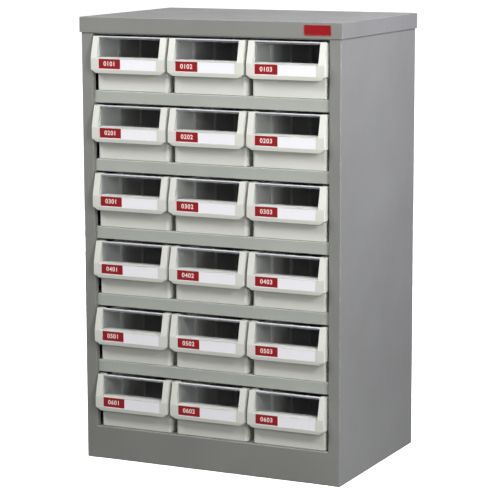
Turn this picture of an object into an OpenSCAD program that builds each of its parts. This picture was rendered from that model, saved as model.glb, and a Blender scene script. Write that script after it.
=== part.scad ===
// Parts bin cabinet: a folded sheet-steel carcass holding rows of moulded drawer bins with clear windows.
// Millimetres, +Z up, fronts face -Y. The origin is the middle of the footprint, on the floor.
// Inside the modules Y = 0 is the front plane of the steel body; seated() moves that into the part's frame.

/* [Cabinet] */
// Width of the steel body
body_w = 586; // [480:1:720]
// Depth of the steel body, from its front plane to its rear plane
body_d = 400; // [330:1:480]
// Height from the floor to the top of the cover
body_h = 937; // [820:1:1130]
// Rows of drawers
rows = 6; // [2:1:6]
// Columns of drawers
cols = 3; // [1:1:3]

/* [Sheet steel] */
// Thickness of the folded sheet
sheet_t = 1; // [0.8:0.1:1.5]
// Inner radius of each fold
bend_r = 1.5; // [0.5:0.25:2.5]
// Width of the front stile folded on each side panel
stile_w = 26; // [18:1:36]
// Depth of the stile's inner return
stile_return = 12; // [9:1:16]
// Width of the rear flange folded on each side panel
rear_flange = 18; // [12:1:24]
// Height of the plinth below the lowest drawers
plinth_h = 70; // [50:1:110]
// Height from the top of the uppermost opening to the top of the cover
head_h = 35; // [34:1:60]
// Depth of the plinth's returns
plinth_return = 15; // [8:1:20]

/* [Shelves] */
// Height of the rail folded on the front of each shelf
rail_h = 26; // [20:1:34]
// Distance from the front plane back to the face of the rail
rail_inset = 7; // [5:0.5:8]
// Depth of the return under the rail
rail_return = 14; // [10:1:20]
// Height of the upturn behind the rail
rail_upturn = 8; // [5:1:12]
// Height of the flanges that join a shelf to the side panels
shelf_flange = 15; // [10:1:20]
// Width of a guide between two drawer bins
guide_w = 10; // [5:0.5:10]
// Height of a guide above its shelf
guide_h = 14; // [8:1:20]
// Distance from the front plane to the front end of a guide
guide_inset = 45; // [30:1:80]

/* [Top cover] */
// How far the cover stands out past the body on each side
cover_over = 3; // [2:0.5:6]
// Height of the cover's skirt
cover_skirt = 32; // [24:0.5:33]
// Width of the badge plate
badge_w = 58; // [40:1:80]
// Height of the badge plate
badge_h = 21; // [12:0.5:22]
// Distance from the badge plate to the cover's right-hand edge
badge_inset = 24; // [10:1:60]
// Thickness of the badge plate
badge_t = 0.8; // [0.5:0.1:1.5]

/* [Drawer bins] */
// Wall thickness of the moulded bin
bin_wall = 2.5; // [2:0.25:3]
// Space between a bin and the edge of its column
bin_side_gap = 6.5; // [5.5:0.25:8]
// Space behind a closed bin
bin_rear_gap = 16; // [8:1:30]
// Corner radius of the bin in plan
bin_corner_r = 7; // [5:0.5:12]
// Height left free above the bin's rim in its opening
rim_drop = 13; // [10:1:20]
// How far the rim stands out from the walls
rim_out = 2.5; // [1.5:0.25:3]
// Height of the rim
rim_h = 3; // [2:0.25:5]
// Distance from the back of the bin to the front of its stop lugs
lug_inset = 80; // [45:1:100]
// How far a stop lug reaches above the opening
lug_reach = 9; // [4:0.5:12]
// Length of a stop lug at its foot
lug_len = 26; // [12:1:32]
// Thickness of the ribs that hold a divider, and how far they stand out from the wall
rib = 2; // [1.5:0.25:3]
// Width of the slot between the two ribs of a pair
rib_slot = 3; // [2:0.25:5]
// Number of divider slots along each wall
slots = 3; // [1:1:3]
// Distance from the front of the bin to the middle of the first slot
slot_inset = 86; // [60:1:96]
// Distance from one slot to the next
slot_pitch = 96; // [60:1:100]

/* [Drawer fronts] */
// Space between a hood and the edge of its column
hood_side_gap = 3.5; // [2:0.25:5]
// Space above a hood in its opening
hood_top_gap = 4; // [2.5:0.25:6]
// How far the label panel stands in front of the body
hood_reach = 14; // [8:0.5:16]
// How far the top of the hood stands in front of the body
hood_top_reach = 2.5; // [2.5:0.25:5]
// Distance from the front plane back to the rear of the hood
hood_back = 13.5; // [12.5:0.5:16]
// Height of the lower edge of the label panel above the shelf
lip_z = 37.5; // [30:0.5:42]
// Height of the crease above the label
crease_z = 68; // [60:0.5:72]
// Height of the window's sill
sill_z = 74; // [73:0.5:80]
// Width of each cheek beside the window
cheek_w = 14; // [12:0.5:18]
// Width of the chamfer at the hood's lower corners
chamfer_w = 11; // [6:0.5:11]
// Height of the chamfer at the hood's lower corners
chamfer_h = 10; // [6:0.5:14]
// Height of the recess for the label card
label_h = 23.5; // [16:0.5:25]
// Depth of the recess for the label card
label_depth = 0.8; // [0.4:0.1:1]
// Margin between the window's side and the label card's end
label_margin = 4.5; // [2:0.5:10]
// How far the lip below the label turns in
lip_run = 1.5; // [1:0.5:5]
// Radius of the moulded edges along the label panel
edge_r = 0.8; // [0.4:0.1:1.5]

/* [Windows] */
// Thickness of the clear pane
pane_t = 2; // [1.5:0.25:2.5]
// Height of the bead along the top of the pane
bead_h = 5; // [3:0.5:7]
// Depth of that bead, front to back
bead_t = 5; // [3:0.5:5]
// Depth of the grooves that hold the pane
groove = 1.5; // [1:0.25:1.75]

/* [Fasteners] */
// Radius of a screw's head
screw_head_r = 3.6; // [3:0.1:4.5]
// Height of a screw's head
screw_head_h = 2; // [1.5:0.1:2.5]
// Radius of a screw's shank
screw_r = 1.6; // [1.2:0.1:2]
// Length of a screw under its head
screw_len = 8; // [5:0.5:12]

/* [Hidden] */
$fn = 48;
fit = 0.2;            // clearance of a pane in its groove and of a screw in its hole
cut = 1;              // how far a cutting shape runs past what it cuts
weld = 0.2;           // how far a rib is sunk into the wall that carries it
fold_steps = 4;       // flat facets in the outline of one fold

total_d = hood_reach + body_d + cover_over;
front_y = hood_reach - total_d / 2;                  // the body's front plane in the part's frame
wall_top = body_h - sheet_t;                         // the folded walls end under the cover's sheet
inner_w = body_w - 2 * sheet_t;
open_w = body_w - 2 * stile_w;
pitch_x = open_w / cols;
bay_h = (body_h - plinth_h - head_h - (rows - 1) * rail_h) / rows;
pitch_z = bay_h + rail_h;
back_face = body_d - 2 * sheet_t;                    // inner face of the back panel
back_w = inner_w - 2 * bend_r;                       // sheets that reach the rear folds stop short of them
rail_back = rail_inset + rail_return;

bin_w = pitch_x - 2 * bin_side_gap;
bin_front = rail_inset;
bin_rear = back_face - bin_rear_gap;
bin_h = bay_h - rim_drop;
lug_y = bin_rear - lug_inset;
lug_top_len = 6;
rib_h = bin_h - rim_h - 2 * bin_wall;
hood_w = pitch_x - 2 * hood_side_gap;
hood_top = bay_h - hood_top_gap;
window_w = hood_w - 2 * cheek_w;
label_w = window_w - 2 * label_margin;
label_z = crease_z - label_h;
pane_y = -pane_t / 2;                                // front face of the pane

function shelf_z(row) = plinth_h + (rows - row) * pitch_z;   // row 1 is the top row
function column_x(col) = (col - (cols + 1) / 2) * pitch_x;   // column 1 is on the left

body_grey = [0.53, 0.54, 0.51];
rail_grey = [0.63, 0.65, 0.62];
bin_ivory = [0.87, 0.87, 0.83];
pane_clear = [0.75, 0.8, 0.85, 0.4];
badge_red = [0.62, 0.09, 0.12];
screw_zinc = [0.75, 0.75, 0.77];

// ---- helpers -------------------------------------------------------------------------------------------

function unit(v) = v / norm(v);
function left_of(d) = [-d[1], d[0]];
function heading(v) = atan2(v[1], v[0]);
function turn(a, b) = let (d = heading(b) - heading(a)) d > 180 ? d - 360 : d < -180 ? d + 360 : d;

// Points of one fold at vertex v, on the edge that lies off from the path, 0 to t to its left.
// A wall that is thicker than its outer radius keeps a sharp inner corner.
function fold_points(v, d1, d2, off, t, r) =
    let (n1 = left_of(d1), n2 = left_of(d2), bend = turn(d1, d2), s = sign(bend),
         reach = s > 0 ? max(r + t, off) : -r,
         centre = v + (n1 + n2) * reach / (1 + n1 * n2),
         radius = s > 0 ? r + t - off : r + off)
    radius <= 0 ? [centre] : [for (i = [0 : fold_steps])
        let (a = heading(n1) + bend * i / fold_steps)
        centre - s * radius * [cos(a), sin(a)]];

function edge_points(path, off, t, r) =
    let (last = len(path) - 1)
    concat(
        [path[0] + off * left_of(unit(path[1] - path[0]))],
        [for (i = [1 : 1 : last - 1])
            each fold_points(path[i], unit(path[i] - path[i - 1]), unit(path[i + 1] - path[i]), off, t, r)],
        [path[last] + off * left_of(unit(path[last] - path[last - 1]))]
    );

function reversed(list) = [for (i = [len(list) - 1 : -1 : 0]) list[i]];

// Section of a folded sheet: the path is one face, and the sheet lies to its left
module folded(path, t = sheet_t, r = bend_r) {
    polygon(concat(edge_points(path, 0, t, r), reversed(edge_points(path, t, t, r))));
}

// A section drawn in Y and Z, run along X and centred on it
module along_x(length) {
    rotate([90, 0, 90]) linear_extrude(length, center = true) children();
}

// A section drawn in X and Z, run from y0 to y1
module along_y(y0, y1) {
    translate([0, y1, 0]) rotate([90, 0, 0]) linear_extrude(y1 - y0) children();
}

module rounded_rectangle(x0, y0, x1, y1, r) {
    translate([x0 + r, y0]) square([x1 - x0 - 2 * r, y1 - y0]);
    translate([x0, y0 + r]) square([x1 - x0, y1 - y0 - 2 * r]);
    for (x = [x0 + r, x1 - r], y = [y0 + r, y1 - r]) translate([x, y]) circle(r);
}

module seated() {
    translate([0, front_y, 0]) children();
}

module in_bay(row, col) {
    seated() translate([column_x(col), 0, shelf_z(row)]) children();
}

// ---- carcass -------------------------------------------------------------------------------------------

// A shallow block whose four upper edges are rounded
module soft_topped_block(x, y0, y1, z0, z1, r) {
    intersection() {
        along_x(2 * x) folded_block(y0, y1, z0, z1, r);
        along_y(y0, y1) folded_block(-x, x, z0, z1, r);
    }
}

module folded_block(a0, a1, z0, z1, r) {
    corner = [for (i = [0 : fold_steps]) 90 * i / fold_steps];
    polygon(concat(
        [[a0, z0], [a1, z0]],
        [for (a = corner) [a1 - r + r * cos(a), z1 - r + r * sin(a)]],
        [for (a = corner) [a0 + r - r * sin(a), z1 - r + r * cos(a)]]
    ));
}

module top_cover() {
    x = body_w / 2 + cover_over;
    low = body_h - cover_skirt;
    color(body_grey) seated() difference() {
        soft_topped_block(x, -cover_over, body_d + cover_over, low, body_h, bend_r + sheet_t);
        soft_topped_block(x - sheet_t, sheet_t - cover_over, body_d + cover_over - sheet_t,
                          low - cut, wall_top, bend_r);
    }
}

module cover_badge() {
    right = body_w / 2 + cover_over - badge_inset;
    mid_z = body_h - cover_skirt / 2;
    color(badge_red) seated()
        translate([right - badge_w, -cover_over - badge_t, mid_z - badge_h / 2])
        cube([badge_w, badge_t, badge_h]);
}

// Screws through the side panels' rear flanges into the back panel, one beside each row of drawers
module at_back_screws() {
    for (side = [-1, 1], row = [1 : rows])
        translate([side * (body_w - rear_flange) / 2, body_d, shelf_z(row) + bay_h / 2])
        rotate([90, 0, 0]) children();
}

module back_screw_holes() {
    at_back_screws() translate([0, 0, -cut]) cylinder(r = screw_r + fit, h = 2 * sheet_t + 2 * cut);
}

module side_panel() {
    x = body_w / 2;
    difference() {
        linear_extrude(wall_top) folded([
            [rear_flange - x, body_d], [-x, body_d], [-x, 0], [stile_w - x, 0], [stile_w - x, stile_return]
        ]);
        back_screw_holes();
    }
}

module left_side_panel() {
    color(body_grey) seated() side_panel();
}

module right_side_panel() {
    color(body_grey) seated() mirror([1, 0, 0]) side_panel();
}

module back_panel() {
    color(body_grey) seated() difference() {
        translate([-back_w / 2, back_face, 0]) cube([back_w, sheet_t, wall_top]);
        back_screw_holes();
    }
}

module back_panel_screws() {
    color(screw_zinc) seated() at_back_screws() {
        cylinder(r = screw_r, h = screw_len);
        translate([0, 0, -screw_head_h]) cylinder(r = screw_head_r, h = screw_head_h);
    }
}

module top_front_rail() {
    low = body_h - head_h;
    color(body_grey) seated() along_x(open_w) folded([
        [plinth_return, wall_top], [0, wall_top], [0, low], [rail_back, low], [rail_back, low + rail_upturn]
    ]);
}

module top_rear_rail() {
    color(body_grey) seated() along_x(back_w)
        folded([[back_face, wall_top - rail_h], [back_face, wall_top], [back_face - rear_flange, wall_top]]);
}

module base_rear_rail() {
    color(body_grey) seated() along_x(back_w)
        folded([[back_face - rear_flange, 0], [back_face, 0], [back_face, rail_h]]);
}

module plinth_panel() {
    color(body_grey) seated() along_x(open_w) folded([
        [plinth_return, plinth_h - shelf_flange], [plinth_return, plinth_h], [0, plinth_h],
        [0, 0], [plinth_return, 0]
    ]);
}

// A shelf's full width from y0 back, with the flanges that join it to both side panels
module deck(y0) {
    long = back_face - bend_r - y0;
    translate([-inner_w / 2, y0, -sheet_t]) cube([inner_w, long, sheet_t]);
    for (x = [-inner_w / 2, inner_w / 2 - sheet_t])
        translate([x, y0, -shelf_flange]) cube([sheet_t, long, shelf_flange]);
}

module base_deck() {
    color(rail_grey) seated() translate([0, 0, plinth_h]) {
        along_x(open_w) folded([
            [back_face, -shelf_flange], [back_face, 0], [plinth_return, 0], [plinth_return, -shelf_flange]
        ]);
        deck(plinth_return + bend_r + sheet_t);
    }
}

module shelf(row) {
    color(rail_grey) seated() translate([0, 0, shelf_z(row)]) {
        along_x(open_w) folded([
            [back_face, -shelf_flange], [back_face, 0], [rail_inset, 0], [rail_inset, -rail_h],
            [rail_back, -rail_h], [rail_back, rail_upturn - rail_h]
        ]);
        deck(stile_return);
    }
}

// Inverted channels on one shelf that keep each bin in its column
module drawer_guides(row) {
    half = guide_w / 2;
    color(rail_grey) seated() translate([0, 0, shelf_z(row)])
        for (i = [0 : cols])
            translate([i * pitch_x - open_w / 2, 0, 0])
            along_y(guide_inset, back_face - bin_rear_gap)
            folded([[half, 0], [half, guide_h], [-half, guide_h], [-half, 0]], r = bend_r / 2);
}

// ---- drawer bin ----------------------------------------------------------------------------------------

module bin_shell() {
    x = bin_w / 2;
    difference() {
        union() {
            linear_extrude(bin_h) rounded_rectangle(-x, bin_front, x, bin_rear, bin_corner_r);
            translate([0, 0, bin_h - rim_h]) linear_extrude(rim_h)
                rounded_rectangle(-x - rim_out, bin_front, x + rim_out, bin_rear + rim_out,
                                  bin_corner_r + rim_out);
        }
        translate([0, 0, bin_wall]) linear_extrude(bin_h)
            rounded_rectangle(bin_wall - x, bin_front + bin_wall, x - bin_wall, bin_rear - bin_wall,
                              bin_corner_r - bin_wall);
        translate([-window_w / 2, bin_front - cut, sill_z])
            cube([window_w, bin_corner_r + rim_out + cut, bin_h]);
    }
}

// Pairs of ribs along the right-hand wall that hold loose dividers
module divider_ribs() {
    wall_x = bin_w / 2 - bin_wall;
    for (slot = [0 : slots - 1], pair = [-1, 1]) {
        y = bin_front + slot_inset + slot * slot_pitch + pair * (rib_slot + rib) / 2;
        translate([wall_x - rib, y - rib / 2, bin_wall - weld]) cube([rib + weld, rib, rib_h]);
    }
}

// Lugs that meet the upturn behind the rail when the drawer is pulled right out
module stop_lugs() {
    high = bay_h + lug_reach;
    low = bin_h - rim_h;
    for (side = [-1, 1])
        translate([side * (bin_w - bin_wall) / 2, 0, 0]) along_x(bin_wall)
        polygon([[lug_y, low], [lug_y, high], [lug_y + lug_top_len, high], [lug_y + lug_len, bin_h],
                 [lug_y + lug_len, low]]);
}

// Side outline of a cheek, with its walls taken off by one wall's thickness and its underside open
module cheek_side(wall) {
    slope_x = (hood_reach - hood_top_reach) / (hood_top - crease_z);
    front = wall - hood_reach;
    open = wall > 0 ? cut : 0;
    polygon([
        [front + lip_run, lip_z - open], [front + lip_run, lip_z], [front, label_z], [front, crease_z],
        [wall - hood_top_reach - slope_x * wall, hood_top - wall],
        [hood_back + open, hood_top - wall], [hood_back + open, lip_z - open]
    ]);
}

// Front outline of the right-hand cheek
module cheek_front(wall) {
    x0 = window_w / 2 + wall;
    x1 = hood_w / 2 - wall;
    low = wall > 0 ? lip_z - cut : lip_z;
    translate([x0, low]) square([x1 - x0, hood_top - low + cut]);
}

module cheek_block(wall) {
    intersection() {
        along_x(2 * hood_w) cheek_side(wall);
        along_y(-hood_reach - cut, hood_back + 2 * cut) cheek_front(wall);
    }
}

module cheek() {
    x = hood_w / 2;
    difference() {
        cheek_block(0);
        cheek_block(bin_wall);
        translate([window_w / 2 - cut, pane_y - fit, sill_z])
            cube([groove + cut, pane_t + 2 * fit, hood_top]);
        along_y(-hood_reach - cut, hood_back + cut)
            polygon([[x - chamfer_w, lip_z - cut], [x - chamfer_w, lip_z], [x, lip_z + chamfer_h],
                     [x + cut, lip_z + chamfer_h], [x + cut, lip_z - cut]]);
    }
}

// Label panel, sill and ledge, moulded as one wall between the cheeks
module label_panel() {
    difference() {
        along_x(window_w) folded([
            [bin_front + bin_wall, sill_z], [pane_y, sill_z], [-hood_reach, crease_z],
            [-hood_reach, label_z], [lip_run - hood_reach, lip_z]
        ], bin_wall, edge_r - bin_wall);
        translate([-label_w / 2, -hood_reach - cut, label_z + edge_r])
            cube([label_w, cut + label_depth, label_h - 2 * edge_r]);
    }
}

module drawer_bin() {
    color(bin_ivory) {
        bin_shell();
        divider_ribs();
        mirror([1, 0, 0]) divider_ribs();
        stop_lugs();
        cheek();
        mirror([1, 0, 0]) cheek();
        label_panel();
    }
}

// The pane runs up inside its bead, and only below the bead does it reach into the grooves
module drawer_window() {
    pane_w = window_w + 2 * (groove - fit);
    bead_low = hood_top - bead_h;
    color(pane_clear) {
        translate([-pane_w / 2, pane_y, sill_z]) cube([pane_w, pane_t, bead_low - sill_z]);
        along_x(window_w - 2 * fit) {
            translate([pane_y, sill_z]) square([pane_t, hood_top - sill_z]);
            translate([-bead_t / 2, bead_low]) square([bead_t, bead_h]);
        }
    }
}

// ---- nodes ---------------------------------------------------------------------------------------------

top_cover();
cover_badge();
left_side_panel();
right_side_panel();
back_panel();
back_panel_screws();
top_front_rail();
top_rear_rail();
base_rear_rail();
plinth_panel();
base_deck();
for (r = [1 : rows - 1])
    shelf(r);
for (r = [1 : rows])
    drawer_guides(r);
for (r = [1 : rows], c = [1 : cols])
    in_bay(r, c) drawer_bin();
for (r = [1 : rows], c = [1 : cols])
    in_bay(r, c) drawer_window();
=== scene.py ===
"""Looks of the parts bin cabinet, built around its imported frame.

Everything is in metres in the frame's own axes: +Z up, drawers open towards -Y.
A drawer's parts are modelled once at the origin, with X from the column's middle, Y from the body's front
plane and Z from the shelf, and each copy is then placed in its own bay. Its figures are made bay by bay.
"""

import logging
import math
from collections.abc import Callable, Iterable, Iterator, Sequence
from contextlib import contextmanager
from dataclasses import dataclass, field
from enum import Enum
from functools import cache

import bpy
from mathutils import Matrix, Vector


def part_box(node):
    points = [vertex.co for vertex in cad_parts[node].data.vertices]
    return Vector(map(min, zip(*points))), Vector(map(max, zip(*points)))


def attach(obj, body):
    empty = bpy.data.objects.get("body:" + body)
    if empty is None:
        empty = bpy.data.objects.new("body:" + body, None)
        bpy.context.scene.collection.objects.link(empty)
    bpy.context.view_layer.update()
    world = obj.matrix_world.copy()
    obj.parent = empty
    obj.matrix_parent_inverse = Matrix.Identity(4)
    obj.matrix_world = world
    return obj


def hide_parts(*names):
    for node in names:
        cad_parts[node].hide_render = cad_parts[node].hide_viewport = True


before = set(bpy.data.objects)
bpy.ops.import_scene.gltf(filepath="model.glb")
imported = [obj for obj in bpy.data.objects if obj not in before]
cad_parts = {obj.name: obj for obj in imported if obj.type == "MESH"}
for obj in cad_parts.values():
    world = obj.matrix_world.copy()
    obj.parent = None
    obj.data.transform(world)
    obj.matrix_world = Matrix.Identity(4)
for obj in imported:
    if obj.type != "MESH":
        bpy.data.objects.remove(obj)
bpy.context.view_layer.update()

log = logging.getLogger("cabinet")

MM = 0.001
TINY = 1e-5
ALONG = 0.9  # more than this of a unit vector lies along the axis that it follows
# Edge mask: rubbed edges on enamel and mouldings, a painted highlight on the window.
WEAR_AND_HIGHLIGHT = "wear_and_highlight"

Colour = tuple[float, float, float]
Point = Sequence[float]
Socket = bpy.types.NodeSocket
Sockets = dict[object, object]
Test = Callable[[Vector, Vector], bool]

WHITE: Colour = (1.0, 1.0, 1.0)


def srgb(red: int, green: int, blue: int) -> Colour:
    """Turns a colour of 0 to 255 into linear light.

    Args:
        red: The red part.
        green: The green part.
        blue: The blue part.

    Returns:
        The three linear values.
    """

    def linear(value: float) -> float:
        """One channel, from display to linear."""
        share = value / 255
        return share / 12.92 if share <= 0.04045 else ((share + 0.055) / 1.055) ** 2.4

    return linear(red), linear(green), linear(blue)


# ---- shader building ----


class Signal:
    """A socket that carries one number, with Python's operators as Math nodes."""

    def __init__(self, recipe: "Recipe", socket: Socket) -> None:
        """Keeps the socket and the recipe that it belongs to."""
        self.recipe = recipe
        self.socket = socket

    def _math(self, operation: str, first: object, second: object) -> "Signal":
        """One Math node on two values, either of which may be a number."""
        node = self.recipe.node("ShaderNodeMath", {0: first, 1: second}, operation=operation)
        return Signal(self.recipe, node.outputs[0])

    def __add__(self, other: object) -> "Signal":
        """self + other, either way round."""
        return self._math("ADD", self, other)

    def __mul__(self, other: object) -> "Signal":
        """self * other, either way round."""
        return self._math("MULTIPLY", self, other)

    def __sub__(self, other: object) -> "Signal":
        """self - other."""
        return self._math("SUBTRACT", self, other)

    def __rsub__(self, other: object) -> "Signal":
        """other - self."""
        return self._math("SUBTRACT", other, self)

    __radd__ = __add__
    __rmul__ = __mul__

    def over(self, low: float, high: float) -> "Signal":
        """Maps low..high onto 0..1, held at both ends."""
        sockets = {"Value": self, "From Min": low, "From Max": high}
        node = self.recipe.node("ShaderNodeMapRange", sockets, clamp=True)
        return Signal(self.recipe, node.outputs["Result"])

    def about(self, middle: float, depth: float) -> "Signal":
        """Maps 0..1 onto a band of a given depth about a middle value."""
        return self * depth + (middle - depth / 2)


class Recipe:
    """One node material under construction."""

    def __init__(self, name: str) -> None:
        """Makes an empty material with its output and object coordinates.

        Args:
            name: The material's name.
        """
        self.material = bpy.data.materials.new(name)
        self.material.use_nodes = True
        self.tree = self.material.node_tree
        self.tree.nodes.clear()
        self.output = self.node("ShaderNodeOutputMaterial")
        self.place = self.node("ShaderNodeTexCoord").outputs["Object"]

    def node(self, kind: str, sockets: Sockets | None = None, **settings: object) -> bpy.types.Node:
        """Adds one node.

        Args:
            kind: The node's type.
            sockets: Values or links of its inputs, by name or number.
            **settings: Attributes that are set first, such as a Math node's operation.

        Returns:
            The new node.
        """
        node = self.tree.nodes.new(kind)
        for key, value in settings.items():
            setattr(node, key, value)
        for key, value in (sockets or {}).items():
            source = value.socket if isinstance(value, Signal) else value
            if isinstance(source, Socket):
                self.tree.links.new(source, node.inputs[key])
            else:
                node.inputs[key].default_value = source
        return node

    def noise(self, size: float, detail: float = 2.0, stretch: Colour = WHITE) -> Signal:
        """Smooth noise.

        Args:
            size: The size of its features, in metres.
            detail: How much finer noise is added.
            stretch: How much longer the features are along each axis.

        Returns:
            The noise, about 0.3 to 0.7.
        """
        scale = [1 / longer for longer in stretch]
        scaled = self.node("ShaderNodeMapping", {"Vector": self.place, "Scale": scale}, vector_type="POINT")
        sockets = {"Vector": scaled.outputs[0], "Scale": 1 / size, "Detail": detail}
        return Signal(self, self.node("ShaderNodeTexNoise", sockets).outputs["Fac"])

    def edges(self) -> Signal:
        """A mask that is 1 along rounded edges and folds, which Piece.mark_edges writes on each mesh; rubbed
        edges on most finishes, a painted highlight on the window.
        """
        node = self.node("ShaderNodeAttribute", attribute_type="GEOMETRY", attribute_name=WEAR_AND_HIGHLIGHT)
        return Signal(self, node.outputs["Fac"])

    def mix(self, share: object, first: object, second: object) -> Socket:
        """Mixes two colours.

        Args:
            share: How much of the second shows, 0 to 1.
            first: A colour or a colour socket.
            second: A colour or a colour socket.

        Returns:
            The mixed colour's socket.
        """
        colours = [(*c, 1.0) if isinstance(c, tuple) else c for c in (first, second)]
        sockets = {0: share, 6: colours[0], 7: colours[1]}
        return self.node("ShaderNodeMix", sockets, data_type="RGBA").outputs[2]

    def bump(self, height: Signal, strength: float, distance: float, under: object = None) -> Socket:
        """A Bump node.

        Args:
            height: The height signal.
            strength: How strong the bump is.
            distance: The height of one unit, in metres.
            under: The normal of a bump beneath this one.

        Returns:
            The normal's socket.
        """
        sockets: Sockets = {"Height": height, "Strength": strength, "Distance": distance}
        if under is not None:
            sockets["Normal"] = under
        return self.node("ShaderNodeBump", sockets).outputs["Normal"]

    def end(self, shader: bpy.types.Node) -> bpy.types.Material:
        """Links a shader to the output and gives the finished material."""
        self.tree.links.new(shader.outputs[0], self.output.inputs["Surface"])
        return self.material

    def surface(self, **sockets: object) -> bpy.types.Material:
        """Ends with the Principled shader, with words for its sockets such as Base_Color."""
        named = {key.replace("_", " "): value for key, value in sockets.items()}
        return self.end(self.node("ShaderNodeBsdfPrincipled", named))


# ---- finishes ----


@dataclass(frozen=True)
class Look:
    """What every finish has: a name, a colour and shades of it."""

    name: str
    colour: Colour

    def shade(self, factor: float) -> Colour:
        """The colour made darker or lighter."""
        return tuple(channel * factor for channel in self.colour)


@dataclass(frozen=True)
class Enamel(Look):
    """Baked enamel on folded sheet steel: a slight orange peel, mottled gloss, edges rubbed thin."""

    worn: Colour
    roughness: float = 0.42
    peel: float = 1.6 * MM
    peel_height: float = 0.02 * MM
    cloud: float = 220 * MM
    speck: float = 0.9 * MM
    speck_share: float = 0.25
    rub: float = 9 * MM
    rub_share: float = 0.5
    smudge: float = 50 * MM
    smudge_depth: float = 0.12

    def make(self) -> bpy.types.Material:
        """Builds the finish from nodes.

        Returns:
            The material.
        """
        recipe = Recipe(self.name)
        body = recipe.mix(recipe.noise(self.cloud, 3.0).over(0.3, 0.7), self.shade(0.93), self.shade(1.06))
        specks = recipe.noise(self.speck, 1.0).over(0.68, 0.8) * self.speck_share
        flecked = recipe.mix(specks, body, self.shade(0.7))
        rubbed = recipe.edges() * recipe.noise(self.rub, 3.0).over(0.5, 0.72) * self.rub_share
        smudges = recipe.noise(self.smudge, 4.0, (1.0, 1.0, 2.2)).over(0.35, 0.7)
        return recipe.surface(
            Base_Color=recipe.mix(rubbed, flecked, self.worn),
            Roughness=smudges.about(self.roughness, self.smudge_depth),
            Normal=recipe.bump(recipe.noise(self.peel, 1.0), 0.35, self.peel_height),
            IOR=1.5,
        )


@dataclass(frozen=True)
class Moulding(Look):
    """Moulded plastic with a fine matt grain and faint flow lines."""

    scuffed: Colour
    roughness: float = 0.48
    grain: float = 0.45 * MM
    grain_height: float = 0.012 * MM
    flow: float = 60 * MM
    dust: float = 1.3 * MM
    dust_share: float = 0.18
    rub: float = 5 * MM
    rub_share: float = 0.35
    sink: float = 18 * MM
    sink_height: float = 0.05 * MM
    sheen: float = 30 * MM
    sheen_depth: float = 0.1
    glow: float = 0.06
    glow_reach: Colour = (2 * MM, 1.6 * MM, 1.2 * MM)

    def make(self) -> bpy.types.Material:
        """Builds the finish from nodes.

        Returns:
            The material.
        """
        recipe = Recipe(self.name)
        flow = recipe.noise(self.flow, 2.0, (2.5, 1.0, 1.0)).over(0.32, 0.68)
        dust = recipe.noise(self.dust, 2.0).over(0.64, 0.78) * self.dust_share
        dusty = recipe.mix(dust, recipe.mix(flow, self.shade(0.955), self.colour), self.scuffed)
        rubbed = recipe.edges() * recipe.noise(self.rub, 2.0).over(0.45, 0.7) * self.rub_share
        fine = recipe.bump(recipe.noise(self.grain, 1.0), 0.3, self.grain_height)
        return recipe.surface(
            Base_Color=recipe.mix(rubbed, dusty, self.shade(1.12)),
            Roughness=recipe.noise(self.sheen, 3.0).over(0.3, 0.7).about(self.roughness, self.sheen_depth),
            Normal=recipe.bump(recipe.noise(self.sink, 1.0), 0.25, self.sink_height, fine),
            IOR=1.49,
            Subsurface_Weight=self.glow,
            Subsurface_Radius=self.glow_reach,
        )


@dataclass(frozen=True)
class Clear(Look):
    """Clear moulded styrene: seen through, a little smoky, with a near-white painted highlight along its
    bead and rims.
    """

    # The first colour below is the near-white painted highlight along the bead and rims; a share further
    # down sets how strongly it shows.
    painted_highlight: Colour
    tint: Colour = (0.96, 0.965, 0.98)
    gloss: float = 0.38
    highlight_share: float = 0.9
    refraction: float = 1.58
    haze: float = 20 * MM
    ripple: float = 14 * MM
    ripple_height: float = 0.03 * MM

    def make(self) -> bpy.types.Material:
        """Builds the finish from nodes.

        Returns:
            The material.
        """
        recipe = Recipe(self.name)
        haze = recipe.noise(self.haze, 3.0).over(0.35, 0.75)
        # Painted highlight: along the rims and the bead's top the edge mask turns the pane near-white and
        # opaque.
        rim = recipe.edges() * self.highlight_share
        smoked = recipe.mix(haze, self.colour, self.shade(0.9))
        skin = {
            "Base Color": recipe.mix(recipe.edges(), smoked, self.painted_highlight),
            "Roughness": haze * 0.08 + rim * 0.2 + 0.06,
            "Metallic": 1 - recipe.edges(),
            "IOR": self.refraction,
            "Normal": recipe.bump(recipe.noise(self.ripple, 1.0), 0.2, self.ripple_height),
        }
        through = recipe.node("ShaderNodeBsdfTransparent", {"Color": (*self.tint, 1.0)}).outputs[0]
        facing = Signal(recipe, recipe.node("ShaderNodeFresnel", {"IOR": self.refraction}).outputs[0])
        share = (facing * self.gloss + haze * 0.01 + rim).over(0.0, 1.0)
        skinned = recipe.node("ShaderNodeBsdfPrincipled", skin).outputs[0]
        return recipe.end(recipe.node("ShaderNodeMixShader", {0: share, 1: through, 2: skinned}))


@dataclass(frozen=True)
class Card(Look):
    """Coated card with a faint fibre and slight clouding."""

    roughness: float = 0.4
    fibre: float = 1.1 * MM
    fibre_height: float = 0.01 * MM
    cloud: float = 30 * MM
    cloud_share: float = 0.3
    sheen_depth: float = 0.1

    def make(self) -> bpy.types.Material:
        """Builds the finish from nodes.

        Returns:
            The material.
        """
        recipe = Recipe(self.name)
        fibre = recipe.noise(self.fibre, 3.0, (3.0, 1.0, 1.0))
        cloud = recipe.noise(self.cloud, 2.0)
        body = recipe.mix(fibre.over(0.35, 0.65), self.shade(0.96), self.colour)
        return recipe.surface(
            Base_Color=recipe.mix(cloud.over(0.4, 0.8) * self.cloud_share, body, self.shade(0.93)),
            Roughness=cloud.over(0.3, 0.7).about(self.roughness, self.sheen_depth),
            Normal=recipe.bump(fibre, 0.25, self.fibre_height),
        )


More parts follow.
